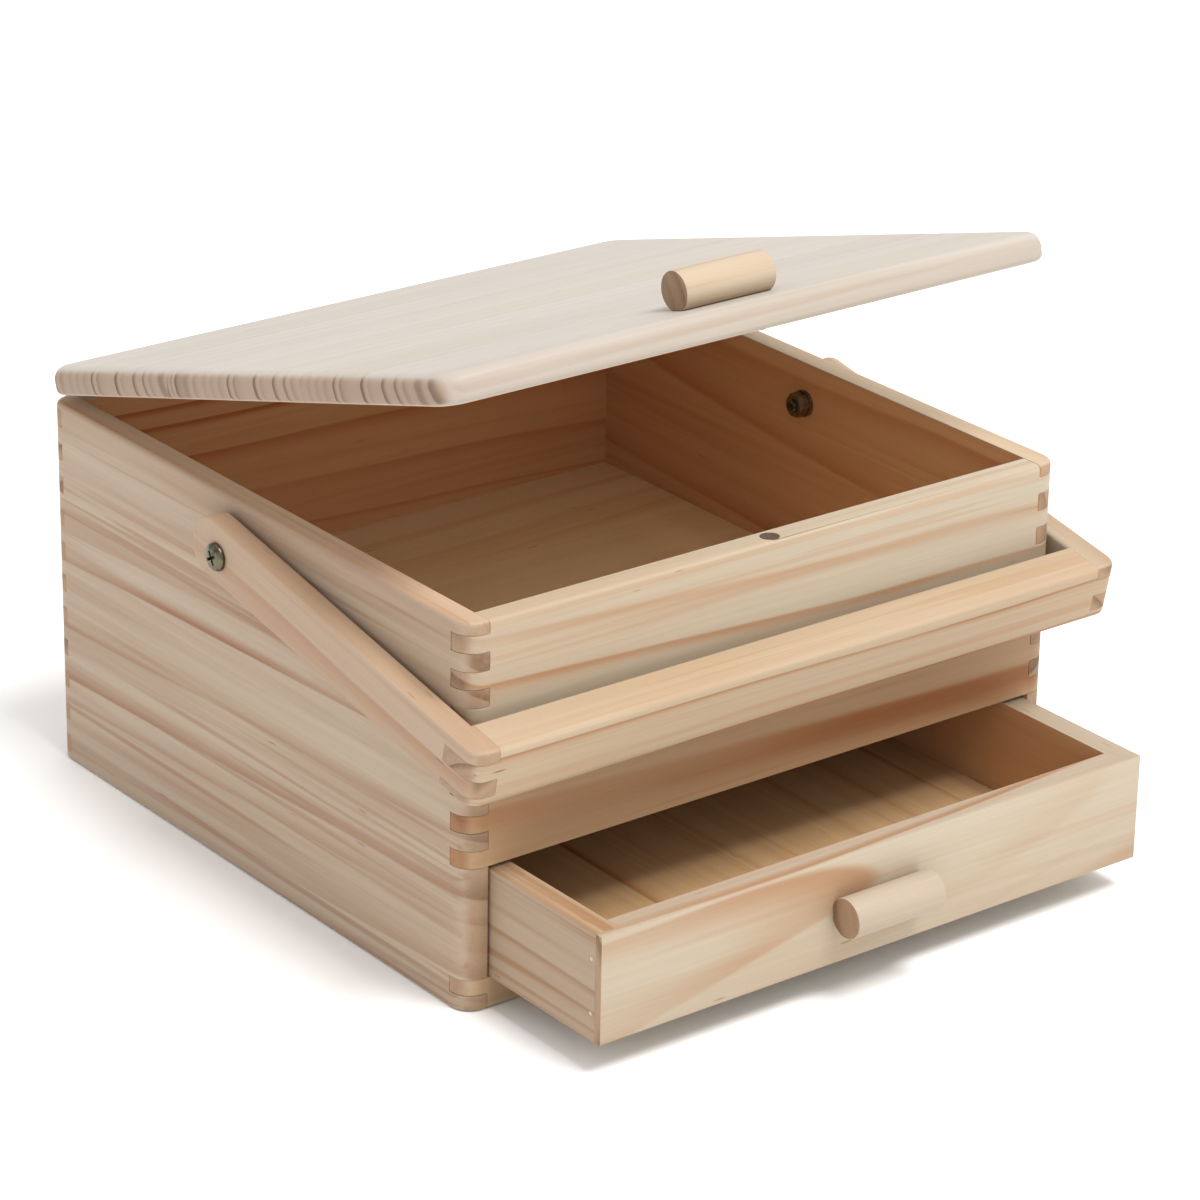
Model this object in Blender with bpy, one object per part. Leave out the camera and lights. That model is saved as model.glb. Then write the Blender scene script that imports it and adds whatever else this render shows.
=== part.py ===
"""Pine sewing box: a finger-jointed case with an open upper compartment, a
hinged lid held shut by a pair of disc magnets, a drawer below, and a carrying
handle that swings on two bolts through the side walls.

All driving sizes are in millimetres.  The box stands on the underside of its
walls at Z = 0, its front faces -Y, and the origin is the middle of the whole
outline (drawer part-drawn, lid part-open) at floor level.
"""
import math

import bmesh
import bpy
from mathutils import Matrix, Vector

for old in list(bpy.data.objects):
    bpy.data.objects.remove(old, do_unlink=True)

MM = 0.001

# ---------------------------------------------------------------- case
WIDTH = 312.0            # over the side walls
DEPTH = 310.0            # front face to back face
HEIGHT = 170.0           # floor to top of walls
SIDE_T = 11.2            # side wall thickness
FRONT_T = 10.6           # front panel and bottom rail thickness
BACK_T = 10.2            # back wall thickness
CORNER_R = 9.4           # rounded upright corners
TOP_ROUND = 2.0          # round-over along the outer top edges
FOOT_ROUND = 1.2         # round-over along the outer bottom edges
GLUE = 0.06              # glue line between jointed boards

PANEL_BOTTOM = 63.8      # underside of the front panel = top of drawer opening
RAIL_TOP = 14.1          # top of the bottom rail
FINGER = 7.76            # pitch of the finger joints
FRONT_FIRST = 5.34       # first (side wall) finger at the front, from the top
BACK_FIRST = 2.8         # first (side wall) finger at the back, from the top
FRONT_COUNT = 13         # fingers down to the drawer opening
BACK_COUNT = 21          # fingers down the back corners

FLOOR_TOP = 76.3         # top of the compartment floor
FLOOR_T = 4.0
BASE_TOP = 13.8          # board that the drawer slides on
BASE_T = 4.0
GROOVE = 5.0             # how far both boards sit in the walls

# ---------------------------------------------------------------- lid
LID_WIDTH = 314.0
LID_DEPTH = 308.9
LID_T = 12.6
LID_BACK = -1.5          # lid's back edge against the back face
LID_GAP = 0.3            # closed lid above the walls
LID_CORNER = 11.4
LID_TOP_ROUND = 6.0
LID_BOTTOM_ROUND = 3.2
LID_OPEN = 16.05         # degrees open as stored

# ---------------------------------------------------------------- hinges
HINGE_X = 98.0
HINGE_LEN = 30.0
LEAF_T = 1.0
LEAF_W = 9.0
KNUCKLE_R = 2.2
PIN_R = 0.95
PIN_BACK = 2.5           # pin behind the back face
PIN_UP = 0.15            # pin above the walls

# ---------------------------------------------------------------- pulls
PULL_R = 8.7
PULL_C = 7.9             # middle of the round above its flat
PULL_LEN = 46.5
PULL_X = -2.5            # both pulls sit a little left of the middle
LID_PULL_Y = 22.2        # middle of the lid pull behind the front face
PULL_SCREW_X = 15.0

# ---------------------------------------------------------------- magnets
MAGNET_R = 4.0
MAGNET_T = 3.0
MAGNET_Y = 5.3

# ---------------------------------------------------------------- handle
PIVOT_Y = DEPTH / 2
PIVOT_Z = 150.8
ARM_GAP = 1.9            # arm clear of the side wall
ARM_T = 12.1
ARM_W = 25.6
ARM_TAIL = 7.0           # round end's middle behind the pivot
HANDLE_REACH = 181.7     # pivot to the outer face of the crossbar
BAR_T = 20.0
HANDLE_CORNER = 7.0
HANDLE_ROUND = 2.1
HANDLE_DOWN = 11.18      # degrees below level, bar resting on the front panel
HANDLE_FINGERS = (6.9, -0.86, -8.62)

# ---------------------------------------------------------------- pivots
BOLT_R = 3.0
BOLT_HEAD_R = 6.1
BOLT_HEAD_H = 3.0
HOLE_R = 3.25
NUT_AF = 10.0
NUT_T = 5.0
WASHER_R = 6.2
WASHER_T = 1.5

# ---------------------------------------------------------------- drawer
DRAWER_OUT = 72.4        # drawn this far as stored
DRAWER_W = 287.1
DRAWER_LEN = 299.0
DRAWER_LOW = 14.3
DRAWER_TOP = 61.9
DRAWER_T = 11.0
DRAWER_LIP = 3.7         # front board left outside the rebate
DRAWER_BOTTOM_T = 4.9
DRAWER_REBATE = 5.0
BRAD_R = 0.6
BRAD_Y = 6.6             # brads behind the drawer's front face

KNUCKLE_BACK = DEPTH + PIN_BACK + KNUCKLE_R
PULL_NOSE = -(DRAWER_OUT + PULL_C + PULL_R)
SHIFT_Y = -(KNUCKLE_BACK + PULL_NOSE) / 2    # brings the outline's middle to Y = 0

HALF = WIDTH / 2
INNER_X = HALF - SIDE_T
BACK_IN = DEPTH - BACK_T

WOOD = (0.74, 0.56, 0.37)
PLY = (0.66, 0.50, 0.32)
PALE = (0.80, 0.66, 0.48)


# ================================================================ helpers
def material(name, colour, rough, metal):
    mat = bpy.data.materials.new(name)
    mat.use_nodes = True
    shader = mat.node_tree.nodes["Principled BSDF"]
    shader.inputs["Base Color"].default_value = (*colour, 1.0)
    shader.inputs["Roughness"].default_value = rough
    shader.inputs["Metallic"].default_value = metal
    return mat


def empty(name, at, turn_x=0.0):
    node = bpy.data.objects.new(name, None)
    node.location = Vector(at) * MM
    node.rotation_euler = (math.radians(turn_x), 0.0, 0.0)
    bpy.context.collection.objects.link(node)
    return node


def to_object(name, bm, parent, smooth=None):
    bmesh.ops.recalc_face_normals(bm, faces=bm.faces)
    bmesh.ops.scale(bm, vec=(MM, MM, MM), verts=bm.verts)
    mesh = bpy.data.meshes.new(name)
    bm.to_mesh(mesh)
    bm.free()
    if smooth:
        mesh.shade_smooth()
        mesh.set_sharp_from_angle(angle=math.radians(smooth))
    node = bpy.data.objects.new(name, mesh)
    bpy.context.collection.objects.link(node)
    node.parent = parent
    return node


def part(name, bm, parent, colour, rough=0.55, metal=0.0, smooth=32, at=(0, 0, 0)):
    node = to_object(name, bm, parent, smooth)
    node.location = Vector(at) * MM
    node.data.materials.append(material(name, colour, rough, metal))
    return node


def cut(node, bm, label, operation="DIFFERENCE"):
    """Booleans bm, built in the same frame as node, out of it."""
    tool = to_object("cutter_" + node.name + "_" + label, bm, node.parent)
    tool.location = node.location
    tool.hide_render = True
    tool.display_type = "WIRE"
    mod = node.modifiers.new(label, "BOOLEAN")
    mod.operation = operation
    mod.solver = "EXACT"
    mod.object = tool


def add_box(bm, x0, x1, y0, y1, z0, z1):
    made = bmesh.ops.create_cube(bm, size=1.0)["verts"]
    bmesh.ops.scale(bm, vec=(x1 - x0, y1 - y0, z1 - z0), verts=made)
    bmesh.ops.translate(bm, vec=((x0 + x1) / 2, (y0 + y1) / 2, (z0 + z1) / 2), verts=made)
    return made


def box(x0, x1, y0, y1, z0, z1):
    bm = bmesh.new()
    add_box(bm, x0, x1, y0, y1, z0, z1)
    return bm


def near(a, b):
    return abs(a - b) < 1e-3


def edges_where(bm, test):
    return [e for e in bm.edges if test(e.verts[0].co, e.verts[1].co)]


def round_edges(bm, edges, width, steps):
    bmesh.ops.bevel(bm, geom=edges, offset=width, offset_type="OFFSET", segments=steps,
                    profile=0.5, affect="EDGES", clamp_overlap=False)


def lathe(outline, steps, closed=False):
    """Turns an (r, z) outline about Z; an open outline starts and ends on the axis."""
    bm = bmesh.new()
    verts = [bm.verts.new((r, 0.0, z)) for r, z in outline]
    pairs = list(zip(verts, verts[1:]))
    if closed:
        pairs.append((verts[-1], verts[0]))
    edges = [bm.edges.new(pair) for pair in pairs]
    bmesh.ops.spin(bm, geom=verts + edges, cent=(0, 0, 0), axis=(0, 0, 1),
                   angle=2 * math.pi, steps=steps, use_merge=True)
    bmesh.ops.remove_doubles(bm, verts=bm.verts, dist=1e-4)
    bmesh.ops.recalc_face_normals(bm, faces=bm.faces)
    return bm


def rod(radius, z0, z1, steps=24):
    return lathe([(0, z0), (radius, z0), (radius, z1), (0, z1)], steps)


def ring(inner, outer, z0, z1, steps=32):
    return lathe([(inner, z0), (outer, z0), (outer, z1), (inner, z1)], steps, closed=True)


def place(bm, turn=None, at=(0, 0, 0)):
    if turn is not None:
        bmesh.ops.transform(bm, matrix=turn, verts=bm.verts)
    bmesh.ops.translate(bm, vec=at, verts=bm.verts)
    return bm


def join(*parts):
    """Gathers separate tools that don't touch into one mesh."""
    bm = parts[0]
    for other in parts[1:]:
        mesh = bpy.data.meshes.new("joined")
        other.to_mesh(mesh)
        other.free()
        bm.from_mesh(mesh)
        bpy.data.meshes.remove(mesh)
    return bm


ALONG_X = Matrix.Rotation(math.radians(90), 4, "Y")      # +Z to +X
ALONG_MX = Matrix.Rotation(math.radians(-90), 4, "Y")    # +Z to -X
ALONG_Y = Matrix.Rotation(math.radians(-90), 4, "X")     # +Z to +Y
ALONG_MY = Matrix.Rotation(math.radians(90), 4, "X")     # +Z to -Y
DOWN = Matrix.Rotation(math.radians(180), 4, "X")        # +Z to -Z

case = empty("case_frame", (0, SHIFT_Y, 0))
lid_axis = empty("lid_axis", (0, SHIFT_Y + DEPTH + PIN_BACK, HEIGHT + PIN_UP), -LID_OPEN)
handle_axis = empty("handle_axis", (0, SHIFT_Y + PIVOT_Y, PIVOT_Z), HANDLE_DOWN)
drawer_slide = empty("drawer_slide", (0, SHIFT_Y - DRAWER_OUT, 0))

# In the lid's frame the pin is the origin; in the handle's the bolts are; in
# the drawer's the front face is Y = 0.
LID_Y = -(DEPTH + PIN_BACK)
LID_Z = -(HEIGHT + PIN_UP)


# ================================================================ case boards
def front_heights():
    """Upper and lower height of each finger at the front corners, from the top."""
    marks = [HEIGHT, HEIGHT - FRONT_FIRST]
    for k in range(1, FRONT_COUNT + 1):
        marks.append(HEIGHT - FRONT_FIRST - k * FINGER)
    marks[-1] = PANEL_BOTTOM
    return list(zip(marks, marks[1:]))


def back_heights():
    marks = [HEIGHT, HEIGHT - BACK_FIRST]
    for k in range(1, BACK_COUNT + 1):
        marks.append(HEIGHT - BACK_FIRST - k * FINGER)
    marks.append(0.0)
    return list(zip(marks, marks[1:]))


FRONT_SEGS = front_heights()      # even: side wall's finger, odd: front panel's
BACK_SEGS = back_heights()        # even: side wall's finger, odd: back wall's
RAIL_MID = RAIL_TOP / 2           # rail's finger above, side wall's below


def stretch(top, bottom, grow, high, low):
    """A finger's cutter, run past the board at its top and bottom ends."""
    z1 = top + 2 if near(top, high) else top + grow
    z0 = bottom - 2 if near(bottom, low) else bottom - grow
    return z0, z1


def board(x0, x1, y0, y1, z0, z1, corners, inner, rounded_foot=True):
    """A wall board with its outer upright corners and outer long edges rounded."""
    bm = box(x0, x1, y0, y1, z0, z1)
    upright = edges_where(bm, lambda a, b: near(a.x, b.x) and near(a.y, b.y)
                          and any(near(a.x, cx) and near(a.y, cy) for cx, cy in corners))
    round_edges(bm, upright, CORNER_R, 8)

    def outer(a, b, z):
        if not (near(a.z, z) and near(b.z, z)):
            return False
        return not (inner(a) and inner(b))
    if near(z1, HEIGHT):
        round_edges(bm, edges_where(bm, lambda a, b: outer(a, b, z1)), TOP_ROUND, 3)
    if near(z0, 0.0) and rounded_foot:
        round_edges(bm, edges_where(bm, lambda a, b: outer(a, b, z0)), FOOT_ROUND, 2)
    return bm


def side_wall(name, side):
    outer, inner = side * HALF, side * INNER_X
    x0, x1 = min(outer, inner), max(outer, inner)
    bm = board(x0, x1, 0, DEPTH, 0, HEIGHT, [(outer, 0), (outer, DEPTH)],
               lambda v: near(v.x, inner))
    wall = part(name, bm, case, WOOD)
    notches = bmesh.new()
    for k, (top, bottom) in enumerate(FRONT_SEGS):
        if k % 2:
            z0, z1 = stretch(top, bottom, GLUE, HEIGHT, -99)
            add_box(notches, x0 - 1, x1 + 1, -1, FRONT_T + GLUE, z0, z1)
    add_box(notches, x0 - 1, x1 + 1, -1, FRONT_T + GLUE, RAIL_MID - GLUE, RAIL_TOP + GLUE)
    cut(wall, notches, "front_fingers")
    notches = bmesh.new()
    for k, (top, bottom) in enumerate(BACK_SEGS):
        if k % 2:
            add_box(notches, x0 - 1, x1 + 1, BACK_IN - GLUE, DEPTH + 1, bottom - GLUE, top + GLUE)
    cut(wall, notches, "back_fingers")
    reach = inner + side * GROOVE
    g0, g1 = min(inner - side * 2, reach + side * GLUE), max(inner - side * 2, reach + side * GLUE)
    grooves = bmesh.new()
    add_box(grooves, g0, g1, FRONT_T - GROOVE - GLUE, BACK_IN + GROOVE + GLUE,
            FLOOR_TOP - FLOOR_T - GLUE, FLOOR_TOP + GLUE)
    add_box(grooves, g0, g1, FRONT_T + GLUE / 2, BACK_IN + GROOVE + GLUE,
            BASE_TOP - BASE_T - GLUE, BASE_TOP + GLUE)
    cut(wall, grooves, "grooves")
    cut(wall, place(rod(HOLE_R, -20, 20, 32), ALONG_X, (outer, PIVOT_Y, PIVOT_Z)), "bolt_hole")
    return wall


side_wall("left_side_wall", -1)
side_wall("right_side_wall", 1)

# Front panel: its fingers are the odd ones, down to the drawer opening.
bm = board(-HALF, HALF, 0, FRONT_T, PANEL_BOTTOM, HEIGHT, [(-HALF, 0), (HALF, 0)],
           lambda v: near(v.y, FRONT_T))
front = part("front_panel", bm, case, PALE)
for side, label in ((-1, "left"), (1, "right")):
    x0, x1 = sorted((side * (HALF + 1), side * (INNER_X - GLUE)))
    notches = bmesh.new()
    for k, (top, bottom) in enumerate(FRONT_SEGS):
        if k % 2 == 0:
            z0, z1 = stretch(top, bottom, GLUE, HEIGHT, -99)
            add_box(notches, x0, x1, -1, FRONT_T + 1, z0, z1)
    cut(front, notches, label + "_fingers")
cut(front, box(-INNER_X - GROOVE - GLUE, INNER_X + GROOVE + GLUE, FRONT_T - GROOVE - GLUE, FRONT_T + 2,
               FLOOR_TOP - FLOOR_T - GLUE, FLOOR_TOP + GLUE), "groove")
cut(front, place(rod(MAGNET_R + 0.12, -MAGNET_T - 0.3, 3, 32), None,
                 (0, MAGNET_Y, HEIGHT)), "magnet_seat")
part("front_magnet", place(lathe([(0, -MAGNET_T), (MAGNET_R - 0.3, -MAGNET_T), (MAGNET_R, -MAGNET_T + 0.3),
                                  (MAGNET_R, -0.4), (MAGNET_R - 0.3, -0.1), (0, -0.1)], 32),
                           None, (0, MAGNET_Y, HEIGHT)), case, (0.28, 0.24, 0.22), 0.35, 0.9)

# Bottom rail: a low board across the front under the drawer.
bm = box(-HALF, HALF, 0, FRONT_T, 0, RAIL_TOP)
round_edges(bm, edges_where(bm, lambda a, b: near(a.x, b.x) and near(a.y, 0) and near(b.y, 0)
                            and not near(a.z, b.z)), CORNER_R, 8)
round_edges(bm, edges_where(bm, lambda a, b: near(a.z, 0) and near(b.z, 0)
                            and not (near(a.y, FRONT_T) and near(b.y, FRONT_T))), FOOT_ROUND, 2)
rail = part("front_bottom_rail", bm, case, PALE)
for side, label in ((-1, "left"), (1, "right")):
    x0, x1 = sorted((side * (HALF + 1), side * (INNER_X - GLUE)))
    cut(rail, box(x0, x1, -1, FRONT_T + 1, -2, RAIL_MID + GLUE), label + "_finger")

# Back wall.
bm = board(-HALF, HALF, BACK_IN, DEPTH, 0, HEIGHT, [(-HALF, DEPTH), (HALF, DEPTH)],
           lambda v: near(v.y, BACK_IN))
back = part("back_wall", bm, case, WOOD)
for side, label in ((-1, "left"), (1, "right")):
    x0, x1 = sorted((side * (HALF + 1), side * (INNER_X - GLUE)))
    notches = bmesh.new()
    for k, (top, bottom) in enumerate(BACK_SEGS):
        if k % 2 == 0:
            z0, z1 = stretch(top, bottom, GLUE, HEIGHT, 0.0)
            add_box(notches, x0, x1, BACK_IN - 1, DEPTH + 1, z0, z1)
    cut(back, notches, label + "_fingers")
grooves = bmesh.new()
add_box(grooves, -INNER_X - GROOVE - GLUE, INNER_X + GROOVE + GLUE, BACK_IN - 2, BACK_IN + GROOVE + GLUE,
        FLOOR_TOP - FLOOR_T - GLUE, FLOOR_TOP + GLUE)
add_box(grooves, -INNER_X - GROOVE - GLUE, INNER_X + GROOVE + GLUE, BACK_IN - 2, BACK_IN + GROOVE + GLUE,
        BASE_TOP - BASE_T - GLUE, BASE_TOP + GLUE)
cut(back, grooves, "grooves")
recesses = bmesh.new()
for side in (-1, 1):
    add_box(recesses, side * HINGE_X - HINGE_LEN / 2 - 0.1, side * HINGE_X + HINGE_LEN / 2 + 0.1,
            DEPTH - LEAF_W - 0.1, DEPTH + 2, HEIGHT - LEAF_T - 0.1, HEIGHT + 2)
cut(back, recesses, "hinge_recesses")

# The two inner boards, let into the walls all round.
part("compartment_floor", box(-INNER_X - GROOVE, INNER_X + GROOVE, FRONT_T - GROOVE, BACK_IN + GROOVE,
                              FLOOR_TOP - FLOOR_T, FLOOR_TOP), case, PLY, smooth=None)
part("base_panel", box(-INNER_X - GROOVE, INNER_X + GROOVE, FRONT_T + 0.1, BACK_IN + GROOVE,
                       BASE_TOP - BASE_T, BASE_TOP), case, PLY, smooth=None)


# ================================================================ lid
def lid_board():
    y1 = DEPTH + LID_BACK + LID_Y
    y0 = y1 - LID_DEPTH
    z0 = HEIGHT + LID_GAP + LID_Z
    z1 = z0 + LID_T
    bm = box(-LID_WIDTH / 2, LID_WIDTH / 2, y0, y1, z0, z1)
    round_edges(bm, edges_where(bm, lambda a, b: near(a.x, b.x) and near(a.y, b.y)), LID_CORNER, 8)
    round_edges(bm, edges_where(bm, lambda a, b: near(a.z, z1) and near(b.z, z1)), LID_TOP_ROUND, 6)
    round_edges(bm, edges_where(bm, lambda a, b: near(a.z, z0) and near(b.z, z0)), LID_BOTTOM_ROUND, 4)
    return bm


lid = part("lid_panel", lid_board(), lid_axis, PALE)
recesses = bmesh.new()
for side in (-1, 1):
    add_box(recesses, side * HINGE_X - HINGE_LEN / 2 - 0.1, side * HINGE_X + HINGE_LEN / 2 + 0.1,
            DEPTH - LEAF_W - 0.1 + LID_Y, DEPTH + 2 + LID_Y, HEIGHT - 3 + LID_Z,
            HEIGHT + LID_GAP + LEAF_T + 0.1 + LID_Z)
cut(lid, recesses, "hinge_recesses")
LID_UNDER = HEIGHT + LID_GAP + LID_Z
cut(lid, join(place(rod(MAGNET_R + 0.12, -3, MAGNET_T + 0.3, 32), None,
                    (0, MAGNET_Y + LID_Y, LID_UNDER)),
              place(rod(2.05, -3, LID_T + 3, 20), None, (PULL_X - PULL_SCREW_X, LID_PULL_Y + LID_Y, LID_UNDER)),
              place(rod(2.05, -3, LID_T + 3, 20), None, (PULL_X + PULL_SCREW_X, LID_PULL_Y + LID_Y, LID_UNDER))),
    "seats")
part("lid_magnet", place(lathe([(0, 0.1), (MAGNET_R - 0.3, 0.1), (MAGNET_R, 0.4), (MAGNET_R, MAGNET_T - 0.3),
                                (MAGNET_R - 0.3, MAGNET_T), (0, MAGNET_T)], 32),
                         None, (0, MAGNET_Y + LID_Y, LID_UNDER)), lid_axis, (0.28, 0.24, 0.22), 0.35, 0.9)


# ================================================================ pulls
def pull_body():
    """A dowel with a flat along it, lying on X with its flat at Z = 0."""
    bm = bmesh.new()
    start = -math.asin(PULL_C / PULL_R)
    steps = 26
    verts = []
    for k in range(steps + 1):
        a = start + (math.pi - 2 * start) * k / steps
        verts.append(bm.verts.new((-PULL_LEN / 2, PULL_R * math.cos(a), PULL_C + PULL_R * math.sin(a))))
    face = bm.faces.new(verts)
    moved = bmesh.ops.extrude_face_region(bm, geom=[face])["geom"]
    bmesh.ops.translate(bm, vec=(PULL_LEN, 0, 0), verts=[v for v in moved if isinstance(v, bmesh.types.BMVert)])
    bmesh.ops.recalc_face_normals(bm, faces=bm.faces)
    rims = edges_where(bm, lambda a, b: near(abs(a.x), PULL_LEN / 2) and near(a.x, b.x))
    round_edges(bm, rims, 0.7, 2)
    return bm


def wood_screw(length):
    """Pan head under Z = 0, shank up along +Z to a blunt point."""
    return lathe([(0, -2.1), (1.8, -2.0), (2.9, -1.5), (3.5, -0.7), (3.5, -0.15), (1.85, -0.15),
                  (1.85, length - 2.5), (0.5, length), (0, length)], 20)


def pilot(length):
    return lathe([(0, -2), (2.0, -2), (2.0, length - 2.3), (0.7, length + 0.4), (0, length + 0.4)], 20)


def cross_recess(screw, top, reach, depth, half, angle, turn=None):
    """Cuts a cross recess into a screw whose head's outer face is at Z = top."""
    spin = Matrix.Rotation(math.radians(angle), 4, "Z")
    spin = spin if turn is None else turn @ spin
    z0, z1 = sorted((top - 1.0 * (1 if top < 0.05 else -1), top + depth * (1 if top < 0.05 else -1)))
    cut(screw, place(box(-reach, reach, -half, half, z0, z1), spin), "slot_a")
    cut(screw, place(box(-half, half, -reach, reach, z0, z1), spin), "slot_b")


# Lid pull, screwed up from under the lid.
top = LID_UNDER + LID_T
pull = part("lid_pull", place(pull_body(), None, (PULL_X, LID_PULL_Y + LID_Y, top + 0.05)), lid_axis, PALE)
LID_SCREW = LID_T + 9.0
for side, label in ((-1, "left"), (1, "right")):
    spot = (PULL_X + side * PULL_SCREW_X, LID_PULL_Y + LID_Y, LID_UNDER)
    cut(pull, place(pilot(LID_SCREW), None, spot), label + "_pilot")
    cross_recess(part("lid_pull_screw_" + label, wood_screw(LID_SCREW), lid_axis, (0.60, 0.59, 0.57), 0.3, 1.0,
                      at=spot), -2.1, 2.1, 1.25, 0.35, 33 * side)


# ================================================================ hinges
def leaf(up):
    """A butt hinge leaf in the pin's frame; up = 1 is the lid's, -1 the wall's."""
    half = HINGE_LEN / 2
    third = HINGE_LEN / 6
    z0, z1 = sorted((up * 0.15, up * (0.15 + LEAF_T)))
    inner = -(PIN_BACK + LEAF_W)
    edge = -KNUCKLE_R - 0.5
    spans = [(-third + 0.15, third - 0.15)] if up > 0 else [(-half, -third - 0.15), (third + 0.15, half)]
    outline = [(half, edge), (half, inner), (-half, inner), (-half, edge)]
    for a, b in spans:                       # tongues that run into the knuckles
        outline += [(a + 0.1, edge), (a + 0.1, -1.3), (b - 0.1, -1.3), (b - 0.1, edge)]
    plate = bmesh.new()
    face = plate.faces.new([plate.verts.new((x, y, z0)) for x, y in outline])
    moved = bmesh.ops.extrude_face_region(plate, geom=[face])["geom"]
    bmesh.ops.translate(plate, vec=(0, 0, z1 - z0), verts=[v for v in moved if isinstance(v, bmesh.types.BMVert)])
    bmesh.ops.recalc_face_normals(plate, faces=plate.faces)
    round_edges(plate, edges_where(plate, lambda a, b: near(a.x, b.x) and near(a.y, inner) and near(b.y, inner)
                                   and not near(a.z, b.z)), 0.8, 2)
    return plate, spans, z0, z1


def hinge(side, label):
    x = side * HINGE_X
    for up, who, parent, name in ((-1, (x, DEPTH + PIN_BACK, HEIGHT + PIN_UP), case, "hinge_leaf_wall_"),
                                  (1, (x, 0, 0), lid_axis, "hinge_leaf_lid_")):
        plate, spans, z0, z1 = leaf(up)
        node = part(name + label, plate, parent, (0.72, 0.56, 0.30), 0.35, 1.0, at=who)
        for k, (a, b) in enumerate(spans):
            cut(node, place(rod(KNUCKLE_R, a, b, 24), ALONG_X), "knuckle%d" % k, "UNION")
        cut(node, place(rod(PIN_R + 0.15, -20, 20, 24), ALONG_X), "pin_hole")
        for j in (-1, 1):
            # head at the face that meets the other leaf, shank into the wood
            turn = None if up > 0 else DOWN
            hole = (j * 9.0, -(PIN_BACK + 4.8), z0 if up > 0 else z1)
            spot = tuple(a + b for a, b in zip(who, hole))
            sink = lathe([(0, -0.5), (2.3, -0.5), (1.1, 0.75), (1.1, 3), (0, 3)], 16)
            cut(node, place(sink, turn, hole), "screw_hole%d" % j)
            screw = lathe([(0, 0.05), (1.65, 0.05), (1.65, 0.12), (0.95, 0.85), (0.95, 6.6), (0.3, 8.0), (0, 8.0)], 16)
            tag = "%s%s_%s" % (name.replace("leaf", "screw"), label, "outer" if j * side > 0 else "inner")
            part(tag, place(screw, turn), parent, (0.72, 0.56, 0.30), 0.35, 1.0, at=spot)
            bore = lathe([(0, -0.2), (1.1, -0.2), (1.1, 6.8), (0.4, 8.4), (0, 8.4)], 16)
            cut(lid if up > 0 else back, place(bore, turn, spot), "screw_%s%d" % (label, j))
    part("hinge_pin_" + label,
         place(lathe([(0, -HINGE_LEN / 2 + 0.1), (PIN_R - 0.25, -HINGE_LEN / 2 + 0.1),
                      (PIN_R, -HINGE_LEN / 2 + 0.35), (PIN_R, HINGE_LEN / 2 - 0.35),
                      (PIN_R - 0.25, HINGE_LEN / 2 - 0.1), (0, HINGE_LEN / 2 - 0.1)], 20), ALONG_X),
         case, (0.70, 0.62, 0.45), 0.3, 1.0, at=(x, DEPTH + PIN_BACK, HEIGHT + PIN_UP))


hinge(-1, "left")
hinge(1, "right")


# ================================================================ handle
def handle_frame():
    """The whole U in one piece, lying along -Y from the pivot, before it is split.
    Arms' round ends, outer corners and all long edges are rounded."""
    out = INNER_ARM + ARM_T
    tail = ARM_TAIL + ARM_W / 2
    outline = [(-out, tail), (-out, -HANDLE_REACH), (out, -HANDLE_REACH), (out, tail),
               (INNER_ARM, tail), (INNER_ARM, -HANDLE_REACH + BAR_T),
               (-INNER_ARM, -HANDLE_REACH + BAR_T), (-INNER_ARM, tail)]
    bm = bmesh.new()
    face = bm.faces.new([bm.verts.new((x, y, -ARM_W / 2)) for x, y in outline])
    moved = bmesh.ops.extrude_face_region(bm, geom=[face])["geom"]
    bmesh.ops.translate(bm, vec=(0, 0, ARM_W), verts=[v for v in moved if isinstance(v, bmesh.types.BMVert)])
    bmesh.ops.recalc_face_normals(bm, faces=bm.faces)
    # outer corners of the frame
    round_edges(bm, edges_where(bm, lambda a, b: near(a.x, b.x) and near(a.y, b.y) and near(abs(a.x), out)
                                and near(a.y, -HANDLE_REACH)), HANDLE_CORNER, 8)
    # round ends of the arms
    round_edges(bm, edges_where(bm, lambda a, b: near(a.y, tail) and near(b.y, tail)
                                and near(abs(a.z), ARM_W / 2) and near(a.z, b.z)), ARM_W / 2 - 0.95, 10)
    # long edges
    sharp = [e for e in bm.edges if len(e.link_faces) == 2 and e.calc_face_angle(0) > math.radians(60)
             and not near(abs(e.verts[0].co.z - e.verts[1].co.z), ARM_W)]
    round_edges(bm, sharp, HANDLE_ROUND, 3)
    return bm


INNER_ARM = HALF + ARM_GAP
FAR = 400.0
BAR_IN = -HANDLE_REACH + BAR_T
F1, F2, F3 = HANDLE_FINGERS


def arm(name, side):
    node = part(name, handle_frame(), handle_axis, WOOD)
    a, b = sorted((side * (INNER_ARM + 0.02), -side * FAR))
    cut(node, box(a, b, -FAR, FAR, -50, 50), "other_side")
    a, b = sorted((side * (INNER_ARM - 5), side * FAR))
    fingers = bmesh.new()
    add_box(fingers, a, b, -FAR, BAR_IN + GLUE, F2 - GLUE, F1 + GLUE)
    add_box(fingers, a, b, -FAR, BAR_IN + GLUE, -50, F3 + GLUE)
    cut(node, fingers, "fingers")
    cut(node, place(rod(HOLE_R, -40, 40, 32), ALONG_X, (side * INNER_ARM, 0, 0)), "bolt_hole")
    return node


arm("handle_arm_left", -1)
arm("handle_arm_right", 1)

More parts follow.
